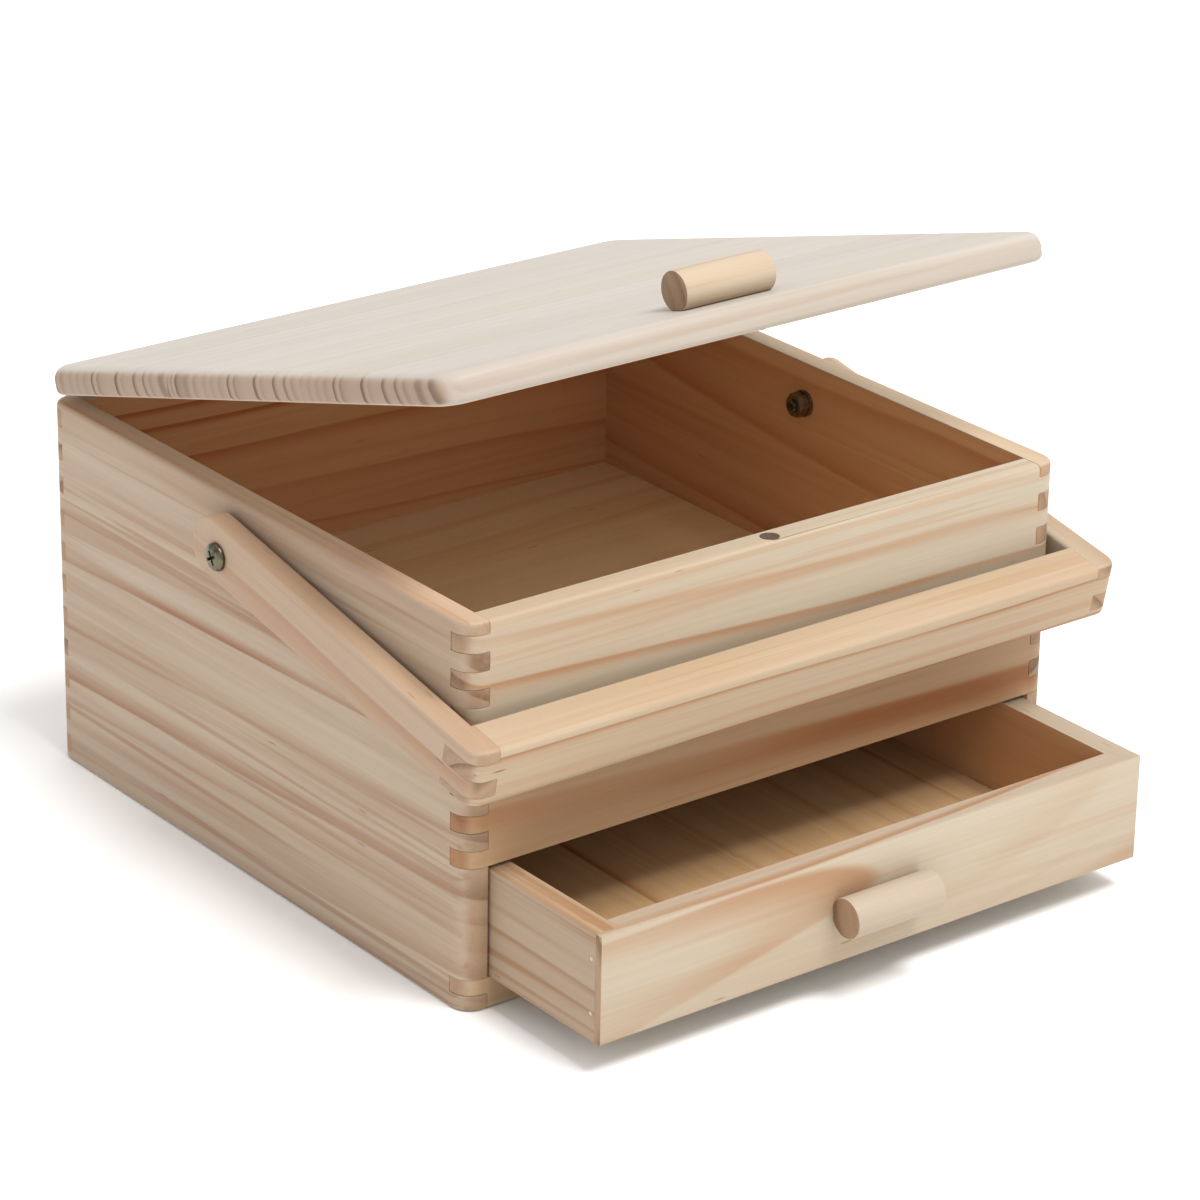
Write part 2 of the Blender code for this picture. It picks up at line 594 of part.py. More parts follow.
bar = part("handle_crossbar", handle_frame(), handle_axis, PALE)
cut(bar, box(-FAR, FAR, BAR_IN - 0.02, FAR, -50, 50), "arms")
for side, label in ((-1, "left"), (1, "right")):
    a, b = sorted((side * (INNER_ARM - GLUE), side * FAR))
    fingers = bmesh.new()
    add_box(fingers, a, b, -FAR, BAR_IN + 2, F1 - GLUE, 50)
    add_box(fingers, a, b, -FAR, BAR_IN + 2, F3 - GLUE, F2 + GLUE)
    cut(bar, fingers, label + "_fingers")


# ================================================================ pivots
def pivot(side, label):
    turn = ALONG_X if side > 0 else ALONG_MX          # +Z points outwards

    def at(x):
        return (side * x, PIVOT_Y, PIVOT_Z)
    head_seat = INNER_ARM + ARM_T + 0.2
    nut_mid = INNER_X - WASHER_T - 0.25 - NUT_T / 2
    length = head_seat - (nut_mid - NUT_T / 2 - 1.6)
    # bolt: domed head outside the arm, shank inwards through arm, wall and nut
    profile = [(0, -length), (BOLT_R - 0.5, -length), (BOLT_R, -length + 0.5), (BOLT_R, 0), (BOLT_HEAD_R, 0),
               (BOLT_HEAD_R, 0.9)]
    for k in range(1, 6):
        a = math.radians(90) * k / 5
        profile.append((BOLT_HEAD_R * (0.4 + 0.6 * math.cos(a)), 0.9 + (BOLT_HEAD_H - 0.9) * math.sin(a)))
    profile.append((0, BOLT_HEAD_H))
    bolt = part("pivot_bolt_" + label, place(lathe(profile, 32), turn), case,
                (0.62, 0.61, 0.58), 0.28, 1.0, at=at(head_seat))
    cross = turn @ Matrix.Rotation(math.radians(28), 4, "Z")
    cut(bolt, place(box(-3.3, 3.3, -0.6, 0.6, BOLT_HEAD_H - 1.9, BOLT_HEAD_H + 1), cross), "slot_a")
    cut(bolt, place(box(-0.6, 0.6, -3.3, 3.3, BOLT_HEAD_H - 1.9, BOLT_HEAD_H + 1), cross), "slot_b")
    # spacer between arm and wall, washer and nut inside the compartment
    part("pivot_spacer_" + label, place(ring(HOLE_R, WASHER_R, -0.75, 0.75), turn), case,
         (0.62, 0.61, 0.58), 0.32, 1.0, at=at(HALF + ARM_GAP / 2))
    part("pivot_washer_" + label, place(ring(HOLE_R, WASHER_R, -WASHER_T / 2, WASHER_T / 2), turn), case,
         (0.62, 0.61, 0.58), 0.32, 1.0, at=at(INNER_X - 0.1 - WASHER_T / 2))
    across = NUT_AF / 2 / math.cos(math.radians(30))
    nut = bmesh.new()
    bmesh.ops.create_cone(nut, cap_ends=True, segments=6, radius1=across, radius2=across, depth=NUT_T)
    hexagon = part("pivot_nut_" + label, place(nut, turn), case, (0.52, 0.47, 0.40), 0.35, 1.0, at=at(nut_mid))
    # domed on the face away from the washer
    dome = lathe([(0, -NUT_T), (7.5, -NUT_T), (7.5, NUT_T / 2 - 1.6), (4.9, NUT_T / 2 + 0.05), (4.9, NUT_T),
                  (0, NUT_T)], 32)
    cut(hexagon, place(dome, turn @ DOWN), "chamfer", "INTERSECT")
    cut(hexagon, place(rod(HOLE_R - 0.1, -20, 20, 32), turn), "thread_hole")


pivot(-1, "left")
pivot(1, "right")


# ================================================================ drawer
DW = DRAWER_W / 2
D_IN = DW - DRAWER_T


def drawer_board(x0, x1, y0, y1, z0=DRAWER_LOW, z1=DRAWER_TOP, edges=None, width=0.6):
    bm = box(x0, x1, y0, y1, z0, z1)
    if edges:
        round_edges(bm, edges_where(bm, edges), width, 2)
    return bm


def bottom_rebate():
    return box(-D_IN - DRAWER_REBATE - GLUE, D_IN + DRAWER_REBATE + GLUE,
               DRAWER_T - DRAWER_REBATE - GLUE, DRAWER_LEN - DRAWER_T + DRAWER_REBATE + GLUE,
               DRAWER_LOW - 2, DRAWER_LOW + DRAWER_BOTTOM_T + GLUE)


d_front = part("drawer_front", drawer_board(-DW, DW, 0, DRAWER_T, edges=lambda a, b: near(a.y, 0) and near(b.y, 0),
                                            width=0.9), drawer_slide, PALE)
for side, label in ((-1, "left"), (1, "right")):
    a, b = sorted((side * (DW + 2), side * (D_IN - GLUE)))
    cut(d_front, box(a, b, DRAWER_LIP - GLUE, DRAWER_T + 2, 0, 99), label + "_rebate")
cut(d_front, bottom_rebate(), "bottom_rebate")

d_back = part("drawer_back", drawer_board(-D_IN + GLUE, D_IN - GLUE, DRAWER_LEN - DRAWER_T, DRAWER_LEN),
              drawer_slide, WOOD, smooth=None)
cut(d_back, bottom_rebate(), "bottom_rebate")

SCREW_Z = (DRAWER_LOW + DRAWER_TOP) / 2 + 0.3
BRAD_HEIGHTS = (49.9, 26.0)


def brad(length):
    """Head flush at Z = 0, shank along +Z."""
    return lathe([(0, 0.1), (1.0, 0.1), (1.0, 0.5), (BRAD_R, 0.8), (BRAD_R, length - 1.5), (0, length)], 10)


def brad_hole(length):
    return lathe([(0, -1), (1.12, -1), (1.12, 0.6), (BRAD_R + 0.12, 0.9), (BRAD_R + 0.12, length - 1.2),
                  (0, length + 0.3)], 10)


for side, label in ((-1, "left"), (1, "right")):
    a, b = sorted((side * DW, side * D_IN))
    node = part("drawer_side_" + label, drawer_board(a, b, DRAWER_LIP, DRAWER_LEN), drawer_slide, WOOD, smooth=None)
    cut(node, bottom_rebate(), "bottom_rebate")
    inward = ALONG_X if side < 0 else ALONG_MX
    for y, where, other in ((BRAD_Y, "front", d_front), (DRAWER_LEN - DRAWER_T / 2, "back", d_back)):
        for z, level in zip(BRAD_HEIGHTS, ("upper", "lower")):
            spot = (side * DW, y, z)
            cut(node, place(brad_hole(24), inward, spot), "brad_%s_%s" % (where, level))
            cut(other, place(brad_hole(24), inward, spot), "brad_%s_%s" % (label, level))
            part("drawer_brad_%s_%s_%s" % (where, label, level), place(brad(24), inward, spot), drawer_slide,
                 (0.60, 0.58, 0.55), 0.35, 1.0, smooth=40)

part("drawer_bottom", box(-D_IN - DRAWER_REBATE, D_IN + DRAWER_REBATE, DRAWER_T - DRAWER_REBATE,
                          DRAWER_LEN - DRAWER_T + DRAWER_REBATE, DRAWER_LOW, DRAWER_LOW + DRAWER_BOTTOM_T),
     drawer_slide, PLY, smooth=None)

# Drawer pull, flat against the front, screwed from inside the drawer.
d_pull = part("drawer_pull", place(pull_body(), ALONG_MY, (PULL_X, -0.05, SCREW_Z)), drawer_slide, PALE)
DRAWER_SCREW = DRAWER_T + 9.0
for side, label in ((-1, "left"), (1, "right")):
    spot = (PULL_X + side * PULL_SCREW_X, DRAWER_T, SCREW_Z)
    cut(d_front, place(rod(2.05, -3, 20, 20), ALONG_MY, spot), label + "_screw_hole")
    cut(d_pull, place(pilot(DRAWER_SCREW), ALONG_MY, spot), label + "_pilot")
    cross_recess(part("drawer_pull_screw_" + label, place(wood_screw(DRAWER_SCREW), ALONG_MY), drawer_slide,
                      (0.60, 0.59, 0.57), 0.3, 1.0, at=spot), -2.1, 2.1, 1.25, 0.35, 33 * side, ALONG_MY)
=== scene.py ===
import math

import bmesh
import bpy
from mathutils import Matrix, Vector


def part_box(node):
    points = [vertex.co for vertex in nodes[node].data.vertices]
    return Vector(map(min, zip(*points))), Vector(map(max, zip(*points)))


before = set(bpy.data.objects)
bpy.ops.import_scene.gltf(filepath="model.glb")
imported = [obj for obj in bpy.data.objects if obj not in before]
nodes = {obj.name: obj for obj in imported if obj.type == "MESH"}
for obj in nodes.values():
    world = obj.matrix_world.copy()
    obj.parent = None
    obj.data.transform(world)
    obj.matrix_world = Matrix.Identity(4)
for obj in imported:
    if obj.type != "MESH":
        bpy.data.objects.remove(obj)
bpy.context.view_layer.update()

LID_TURN = math.radians(-16.05)       # lid's lean in the stored pose
HANDLE_TURN = math.radians(11.18)     # handle's slope in the stored pose
X, Y, Z = Vector((1, 0, 0)), Vector((0, 1, 0)), Vector((0, 0, 1))


def leaned(v, turn):
    return Matrix.Rotation(turn, 3, "X") @ v


def srgb(r, g, b):
    """Display colour (0-255) to the linear colour a shader takes."""
    def lin(c):
        c /= 255.0
        return c / 12.92 if c <= 0.04045 else ((c + 0.055) / 1.055) ** 2.4
    return (lin(r), lin(g), lin(b), 1.0)


# ================================================================ node helper
class Net:
    def __init__(self, name):
        self.mat = bpy.data.materials.new(name)
        self.mat.use_nodes = True
        self.tree = self.mat.node_tree
        self.tree.nodes.clear()
        self.out = self.tree.nodes.new("ShaderNodeOutputMaterial")
        self.shader = self.tree.nodes.new("ShaderNodeBsdfPrincipled")
        self.link(self.shader.outputs[0], self.out.inputs[0])

    def link(self, a, b):
        self.tree.links.new(a, b)

    def put(self, socket, value):
        if isinstance(value, bpy.types.NodeSocket):
            self.link(value, socket)
        else:
            socket.default_value = value

    def math(self, op, a, b=None, c=None, clamp=False):
        n = self.tree.nodes.new("ShaderNodeMath")
        n.operation = op
        n.use_clamp = clamp
        for k, v in enumerate((a, b, c)):
            if v is not None:
                self.put(n.inputs[k], v)
        return n.outputs[0]

    def add(self, a, b):
        return self.math("ADD", a, b)

    def sub(self, a, b):
        return self.math("SUBTRACT", a, b)

    def mul(self, a, b):
        return self.math("MULTIPLY", a, b)

    def vec(self, op, a, b=None):
        n = self.tree.nodes.new("ShaderNodeVectorMath")
        n.operation = op
        self.put(n.inputs[0], a)
        if b is not None:
            self.put(n.inputs[1], b)
        return n.outputs["Value"] if op in ("DOT_PRODUCT", "LENGTH") else n.outputs["Vector"]

    def xyz(self, x, y, z):
        n = self.tree.nodes.new("ShaderNodeCombineXYZ")
        for k, v in enumerate((x, y, z)):
            self.put(n.inputs[k], v)
        return n.outputs[0]

    def split(self, v):
        n = self.tree.nodes.new("ShaderNodeSeparateXYZ")
        self.put(n.inputs[0], v)
        return n.outputs[0], n.outputs[1], n.outputs[2]

    def noise(self, vector, scale=1.0, detail=2.0, rough=0.5, distortion=0.0, colour=False):
        n = self.tree.nodes.new("ShaderNodeTexNoise")
        n.noise_dimensions = "3D"
        self.put(n.inputs["Vector"], vector)
        n.inputs["Scale"].default_value = scale
        n.inputs["Detail"].default_value = detail
        n.inputs["Roughness"].default_value = rough
        n.inputs["Distortion"].default_value = distortion
        return n.outputs["Color"] if colour else n.outputs["Fac"]

    def white(self, w):
        n = self.tree.nodes.new("ShaderNodeTexWhiteNoise")
        n.noise_dimensions = "1D"
        self.put(n.inputs["W"], w)
        return n.outputs["Value"], n.outputs["Color"]

    def cells(self, vector, scale=1.0, randomness=1.0):
        n = self.tree.nodes.new("ShaderNodeTexVoronoi")
        n.feature = "F1"
        self.put(n.inputs["Vector"], vector)
        n.inputs["Scale"].default_value = scale
        n.inputs["Randomness"].default_value = randomness
        return n.outputs["Distance"], n.outputs["Color"]

    def span(self, value, lo, hi, to_lo=0.0, to_hi=1.0, smooth=True):
        n = self.tree.nodes.new("ShaderNodeMapRange")
        n.interpolation_type = "SMOOTHSTEP" if smooth else "LINEAR"
        n.clamp = True
        self.put(n.inputs["Value"], value)
        n.inputs["From Min"].default_value = lo
        n.inputs["From Max"].default_value = hi
        n.inputs["To Min"].default_value = to_lo
        n.inputs["To Max"].default_value = to_hi
        return n.outputs["Result"]

    def mix(self, fac, a, b, blend="MIX"):
        n = self.tree.nodes.new("ShaderNodeMix")
        n.data_type = "RGBA"
        n.blend_type = blend
        n.clamp_factor = True
        self.put(n.inputs[0], fac)
        self.put(n.inputs[6], a)
        self.put(n.inputs[7], b)
        return n.outputs[2]

    def grey(self, v):
        """A factor as a grey colour, for multiplying."""
        n = self.tree.nodes.new("ShaderNodeCombineColor")
        for k in range(3):
            self.put(n.inputs[k], v)
        return n.outputs[0]

    def coord(self, which="Object"):
        return self.tree.nodes.new("ShaderNodeTexCoord").outputs[which]

    def bump(self, height, strength, distance):
        n = self.tree.nodes.new("ShaderNodeBump")
        n.inputs["Strength"].default_value = strength
        n.inputs["Distance"].default_value = distance
        self.put(n.inputs["Height"], height)
        self.link(n.outputs[0], self.shader.inputs["Normal"])

    def finish(self, colour, rough, **fixed):
        self.put(self.shader.inputs["Base Color"], colour)
        self.put(self.shader.inputs["Roughness"], rough)
        for key, value in fixed.items():
            self.shader.inputs[key.replace("_", " ")].default_value = value
        return self.mat


# ================================================================ pine
PALE = srgb(214, 194, 165)
CREAM = srgb(220, 206, 180)
LATE = srgb(190, 146, 104)
DEEP = srgb(172, 118, 76)
WARM = srgb(206, 172, 138)
END_PALE = srgb(176, 150, 124)
END_LATE = srgb(132, 106, 84)
TONE = (0.66, 0.69, 0.735, 1.0)         # what the studio's exposure leaves of the wood's colour
END_TONE = (0.86, 0.83, 0.81, 1.0)


def pine(name, g, w, t, origin, pith=(0.0, -0.07), spacing=0.0085, contrast=0.75, stave=None, stave_shift=0.0,
         seed=0.0, lean=(0.0, 0.0), wander=0.006, pale=PALE, late=LATE, streaks=0.35, flecks=0.6, tone=TONE, low_shade_paint=None, side_light_paint=(), calm=None, warm=WARM,
         threads=0.22,
         uneven=1.6, end_tone=END_TONE, warmth=0.16,
         flip=False, sharp=False, grey_ends=False, inside_shading_paint=None, top=0.1694, inside_shading_tint=(0.90, 0.62, 0.43, 1.0)):
    """Pine as a solid texture.  g is along the grain, w across the board and t through it; pith is
    where the tree's middle lies, across and through the board, in metres from origin."""
    n = Net(name)
    p = n.vec("SUBTRACT", n.coord("Object"), tuple(origin))
    gw, gt, gg = n.vec("DOT_PRODUCT", p, tuple(w)), n.vec("DOT_PRODUCT", p, tuple(t)), n.vec("DOT_PRODUCT", p, tuple(g))
    shade = 1.0
    if stave:
        # edge-glued staves: each one comes from another place in a tree
        idx = n.math("FLOOR", n.add(n.mul(gw, 1.0 / stave), stave_shift))
        pick, pick3 = n.white(n.add(idx, seed * 7.31 + 0.37))
        r0, r1, r2 = n.split(pick3)
        mid = n.mul(n.add(n.sub(idx, stave_shift), 0.5), stave)
        lw = n.add(n.sub(gw, mid), n.mul(n.sub(r0, 0.5), stave * 0.5))
        side = n.sub(n.mul(n.math("GREATER_THAN", r1, 0.5), 2.0), 1.0)
        lt = n.mul(n.add(gt, n.mul(r2, 0.004)), side)
        along = n.add(gg, n.mul(r1, 0.7))
        shade = n.span(pick, 0.0, 1.0, 0.955, 1.02, smooth=False)
    else:
        lw, lt, along = gw, gt, gg
    q = n.xyz(n.mul(lw, 1.0), n.mul(lt, 1.0), along)
    slow = n.vec("MULTIPLY", q, (9.0, 9.0, 2.6))
    slow = n.vec("ADD", slow, (seed * 3.1, seed * 1.7 + 4.0, seed * 2.3))
    wob = n.vec("SUBTRACT", n.noise(slow, detail=2.5, rough=0.45, colour=True), (0.5, 0.5, 0.5))
    wx, wy, wz = n.split(wob)
    a = n.add(n.sub(lw, pith[0]), n.add(n.mul(along, lean[0]), n.mul(wx, wander * 2.2)))
    b = n.add(n.sub(lt, pith[1]), n.add(n.mul(along, lean[1]), n.mul(wy, wander * 2.2)))
    r = n.math("SQRT", n.add(n.mul(a, a), n.mul(b, b)))
    # rings of uneven width
    drift = n.noise(n.xyz(n.mul(r, 62.0), seed * 1.9, 0.0), detail=1.0)
    phase = n.add(n.mul(r, 1.0 / spacing), n.mul(drift, uneven))
    ring = n.math("FLOOR", phase)
    f = n.sub(phase, ring)
    if flip:
        f = n.sub(1.0, f)
    pick, _ = n.white(n.add(ring, seed + 0.5))
    rise = n.span(f, 0.55 if sharp else 0.30, 0.90)
    fall = n.span(f, 0.90, 1.0, 1.0, 0.0)
    band = n.mul(n.mul(rise, rise), fall)
    # a band is strong in places and fades in others
    patch = n.noise(n.vec("ADD", n.vec("MULTIPLY", q, (26.0, 26.0, 4.2)), (seed, 2.0, seed)), detail=2.0)
    strength = n.mul(n.span(pick, 0.25, 1.0, 0.16, 1.1, smooth=False), n.span(patch, 0.30, 0.68, 0.35, 1.15))
    if calm:
        # the grain fades out towards one edge of the board
        ox, oy, oz = n.split(n.coord("Object"))
        strength = n.mul(strength, n.span(oz, calm[0], calm[1], 1.0, 0.3))
    band = n.math("MULTIPLY", n.mul(band, strength), contrast, clamp=True)
    # long soft streaks of colour
    streak = n.noise(n.vec("MULTIPLY", q, (95.0, 95.0, 3.0)), detail=3.0, rough=0.55)
    cloud = n.noise(n.vec("ADD", n.vec("MULTIPLY", q, (13.0, 13.0, 2.4)), (seed + 9.0, 0.0, 3.0)), detail=2.0)
    ground = n.mix(n.span(streak, 0.36, 0.66, 0.0, streaks), pale, n.mix(0.5, pale, late))
    ground = n.mix(n.span(cloud, 0.34, 0.70, 0.0, 0.42), ground, CREAM)
    ground = n.mix(n.span(cloud, 0.50, 0.30, 0.0, warmth), ground, warm)
    face = n.mix(band, ground, late)
    face = n.mix(n.mul(n.math("POWER", band, 2.2), 0.55), face, DEEP)
    # thin darker lines that run the length of the board
    thread = n.noise(n.vec("MULTIPLY", q, (250.0, 250.0, 4.0)), detail=1.5)
    face = n.mix(n.mul(n.span(thread, 0.55, 0.66, 0.0, threads), n.span(patch, 0.36, 0.60)), face, late)
    # fine fibres and the short dark dashes of resin canals
    fibre = n.noise(n.vec("MULTIPLY", q, (820.0, 820.0, 16.0)), detail=2.0, rough=0.6)
    hair = n.noise(n.vec("MULTIPLY", q, (2600.0, 2600.0, 60.0)), detail=1.0)
    fine = n.add(n.span(fibre, 0.25, 0.75, -0.035, 0.035, smooth=False), n.span(hair, 0.2, 0.8, -0.02, 0.02, smooth=False))
    face = n.mix(1.0, face, n.grey(n.add(fine, 1.0)), "MULTIPLY")
    dist, cell = n.cells(n.vec("MULTIPLY", q, (330.0, 330.0, 34.0)))
    cr, cg, cb = n.split(cell)
    dash = n.mul(n.span(dist, 0.06, 0.15, 1.0, 0.0), n.math("GREATER_THAN", cr, 0.80))
    dash = n.mul(dash, n.span(n.noise(n.vec("MULTIPLY", q, (30.0, 30.0, 8.0)), detail=1.0), 0.47, 0.62, 0.0, flecks))
    face = n.mix(dash, face, srgb(150, 104, 66))
    # end grain: darker and greyer, rings drawn finer, pores instead of fibres
    nrm = n.math("ABSOLUTE", n.vec("DOT_PRODUCT", n.coord("Normal"), tuple(g)))
    ends = n.span(nrm, 0.50, 0.90)
    pores = n.noise(n.xyz(n.mul(lw, 1500.0), n.mul(lt, 1500.0), n.mul(along, 90.0)), detail=1.5)
    rays = n.noise(n.xyz(n.mul(lw, 420.0), n.mul(lt, 420.0), n.mul(along, 40.0)), detail=2.0)
    line = n.mul(n.mul(rise, fall), n.span(pick, 0.1, 0.9, 0.20, 1.0))
    end = n.mix(line, END_PALE, END_LATE)
    end = n.mix(n.span(rays, 0.35, 0.7, 0.0, 0.35), end, srgb(170, 138, 106))
    end = n.mix(1.0, end, n.grey(n.span(pores, 0.25, 0.75, 0.90, 1.06, smooth=False)), "MULTIPLY")
    if grey_ends:
        end = n.mix(0.62, end, n.mix(line, srgb(188, 170, 154), srgb(112, 94, 82)))
    colour = n.mix(ends, face, end)
    if stave:
        colour = n.mix(1.0, colour, n.grey(shade), "MULTIPLY")
    plain = n.mix(1.0, colour, tone, "MULTIPLY")
    plain = n.mix(ends, plain, n.mix(1.0, colour, end_tone, "MULTIPLY"))
    # painted light and shade: faces that turn a given way get their colour tinted lighter, darker or warmer, standing
    # in for how the lamps fall on them
    for way, tint in side_light_paint:
        painted_side_mask = n.span(n.vec("DOT_PRODUCT", n.coord("Normal"), tuple(way)), 0.70, 0.93)
        plain = n.mix(painted_side_mask, plain, n.mix(1.0, plain, tint, "MULTIPLY"))
    if low_shade_paint:
        # painted shade: below a given height the colour is tinted darker and warmer, standing in for the shadow there
        # and the light that reaches it only off other wood
        z0, z1, tint = low_shade_paint
        ox, oy, oz = n.split(n.coord("Object"))
        plain = n.mix(n.span(oz, z0, z1), n.mix(1.0, plain, tint, "MULTIPLY"), plain)
    if inside_shading_paint:
        # painted shade and light: inner faces below the rim get a tint standing in for the light inside the box and
        # drawer, darker and warmer on the walls, lighter on the compartment floor
        way, limit = inside_shading_paint
        here = n.coord("Object")
        inside_shading_mask = n.span(n.vec("DOT_PRODUCT", here, tuple(way)), limit - 0.0006, limit - 0.0001)
        ox, oy, oz = n.split(here)
        inside_shading_mask = n.mul(inside_shading_mask, n.span(oz, top - 0.0002, top + 0.0004, 1.0, 0.0))
        colour = n.mix(inside_shading_mask, plain, n.mix(1.0, colour, inside_shading_tint, "MULTIPLY"))
    else:
        colour = plain
    relief = n.add(n.mul(fibre, 0.35), n.add(n.mul(band, 0.30), n.mul(hair, 0.12)))
    relief = n.sub(relief, n.mul(dash, 0.6))
    n.bump(relief, 0.22, 0.0004)
    rough = n.add(n.span(streak, 0.3, 0.7, 0.50, 0.60, smooth=False), n.mul(ends, 0.16))
    return n.finish(colour, rough, IOR=1.45, Specular_IOR_Level=0.32)


def metal(name, colour, rough, tarnish, amount=0.35, scale=900.0, bump=0.08, flat=0.0):
    """Plated or bare metal with a dull, cloudy film and fine handling marks."""
    n = Net(name)
    p = n.coord("Object")
    cloud = n.noise(p, scale=scale * 0.35, detail=3.0, rough=0.6)
    grain = n.noise(n.vec("MULTIPLY", p, (1.0, 1.0, 3.0)), scale=scale * 3.0, detail=2.0)
    colour = n.mix(n.span(cloud, 0.40, 0.68, 0.0, amount), colour, tarnish)
    n.bump(n.add(n.mul(grain, 0.5), cloud), bump, 0.0001)
    r = n.add(n.span(cloud, 0.35, 0.7, rough, rough + 0.16, smooth=False), n.span(grain, 0.3, 0.7, -0.04, 0.06, smooth=False))
    return n.finish(colour, r, Metallic=1.0 - flat)


def mid(node):
    lo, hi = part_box(node)
    return (lo + hi) / 2


def looks(node, mat, edge=0.0, smooth=True):
    """Gives a CAD node its finish, eases its sharp edges and shades it smooth."""
    o = nodes[node]
    o.data.materials.clear()
    o.data.materials.append(mat)
    if "custom_normal" in o.data.attributes:
        o.data.attributes.remove(o.data.attributes["custom_normal"])
    o.data.shade_smooth()
    weld = o.modifiers.new("weld", "WELD")
    weld.merge_threshold = 0.000002
    if edge:
        plane = o.modifiers.new("planes", "DECIMATE")
        plane.decimate_type = "DISSOLVE"
        plane.angle_limit = math.radians(0.6)
        ease = o.modifiers.new("ease", "BEVEL")
        ease.width = edge
        ease.segments = 2
        ease.limit_method = "ANGLE"
        ease.angle_limit = math.radians(40)
        ease.use_clamp_overlap = True
        ease.harden_normals = True
        ease.miter_outer = "MITER_ARC"
    else:
        split = o.modifiers.new("split", "EDGE_SPLIT")
        split.split_angle = math.radians(32)


# ---------------------------------------------------------------- case
IN_SIDE = -0.1448                       # inner faces, measured along the way they look
IN_BACK = -(0.2998 - 0.11285)
IN_FRONT = 0.0106 - 0.11285
# painted shade: a darker, warmer tint for the drawer's inner faces
DRAWER_INSIDE_SHADE = (0.82, 0.60, 0.44, 1.0)
# painted shade: a darker tint on the top edges of the drawer front and right side
RIM_PAINTED_SHADE = [(Z, (0.90, 0.86, 0.85, 1.0))]
# painted light and shade: a warmer tint on the top edge of the drawer's left side
SIDE_RIM_LIGHT_PAINT = [(Z, (1.06, 0.98, 0.89, 1.0))]
# painted light: the side walls' top edges are tinted lighter and warmer; painted shade: their inner faces are tinted
# darker and warmer
looks("left_side_wall", pine("pine_left_wall", Y, Z, -X, mid("left_side_wall"), pith=(0.105, -0.045), spacing=0.0112,
                             seed=1.3, lean=(0.05, 0.03), wander=0.007, inside_shading_paint=(X, IN_SIDE), tone=(0.65, 0.61, 0.60, 1.0),
                             pale=srgb(213, 197, 174), late=srgb(172, 128, 94), contrast=1.0, streaks=0.75, warmth=0.0,
                             calm=(0.085, 0.150), threads=0.52,
                             side_light_paint=[(Z, (1.11, 1.03, 0.96, 1.0))]), 0.0004)
looks("right_side_wall", pine("pine_right_wall", Y, Z, X, mid("right_side_wall"), pith=(0.062, -0.040), spacing=0.0120,
                              seed=5.1, lean=(-0.05, 0.02), wander=0.007, contrast=0.95, inside_shading_paint=(-X, IN_SIDE),
                              side_light_paint=[(Z, (1.11, 1.03, 0.96, 1.0))]), 0.0004)
# painted shade: the front panel is tinted darker and warmer below the handle bar and on its inner face
looks("front_panel", pine("pine_front", X, Z, -Y, mid("front_panel"), pith=(-0.082, -0.045), spacing=0.0165, seed=2.4,
                          lean=(0.022, 0.02), wander=0.007, contrast=1.0, late=srgb(200, 148, 102), streaks=0.45,
                          warm=srgb(206, 160, 116), warmth=0.06, threads=0.30, inside_shading_paint=(Y, IN_FRONT),
                          low_shade_paint=(0.094, 0.116, (0.95, 0.75, 0.58, 1.0))), 0.0004)
looks("front_bottom_rail", pine("pine_rail", X, Z, -Y, mid("front_bottom_rail"), pith=(0.01, -0.06), seed=7.9,
                                contrast=0.6, tone=(0.66, 0.62, 0.55, 1.0)), 0.0004)
# painted shade: the back wall's inner face is tinted darker and warmer
looks("back_wall", pine("pine_back", X, Z, Y, mid("back_wall"), pith=(-0.075, -0.050), spacing=0.0125, seed=3.6,
                        lean=(0.03, 0.02), contrast=0.95, inside_shading_paint=(-Y, IN_BACK)), 0.0004)
# painted light: the compartment floor's upper face is tinted lighter
looks("compartment_floor", pine("pine_floor", X, Y, Z, mid("compartment_floor"), pith=(0.02, -0.10), spacing=0.0120,
                                seed=4.4, wander=0.012, contrast=0.6, pale=srgb(208, 184, 146), flecks=0.9,
                                inside_shading_paint=(Z, 0.0762), inside_shading_tint=(1.20, 1.18, 1.14, 1.0)), 0.0002)
looks("base_panel", pine("pine_base", X, Y, -Z, mid("base_panel"), pith=(-0.03, -0.09), spacing=0.0120, seed=8.2,
                         wander=0.012, contrast=0.5, pale=srgb(206, 182, 146)), 0.0002)

# ---------------------------------------------------------------- lid
LY, LZ = leaned(Y, LID_TURN), leaned(Z, LID_TURN)
lid_mid = mid("lid_panel")
# painted light on the lid's underside (lighter, warmer) and painted shade on its front edge
looks("lid_panel", pine("pine_lid", X, LY, LZ, lid_mid, pith=(-0.098, -0.030), spacing=0.0080, seed=6.2,
                        lean=(0.01, 0.01), wander=0.0055, stave=0.104, stave_shift=0.5, contrast=0.25, streaks=0.22,
                        uneven=3.4, threads=0.08, side_light_paint=[(-LZ, (1.38, 1.22, 1.02, 1.0)), (-LY, (0.92, 0.88, 0.84, 1.0))],
                        end_tone=(0.78, 0.75, 0.74, 1.0),
                        pale=srgb(222, 211, 196), late=srgb(196, 168, 138), grey_ends=True, tone=(0.64, 0.66, 0.715, 1.0)), 0.0)
looks("lid_pull", pine("pine_lid_pull", X, LY, LZ, mid("lid_pull"), pith=(0.020, -0.004), spacing=0.0085, seed=9.3,
                       contrast=0.6, end_tone=(0.72, 0.68, 0.66, 1.0), tone=(0.71, 0.70, 0.72, 1.0)), 0.0)

# ---------------------------------------------------------------- handle
HY, HZ = leaned(Y, HANDLE_TURN), leaned(Z, HANDLE_TURN)
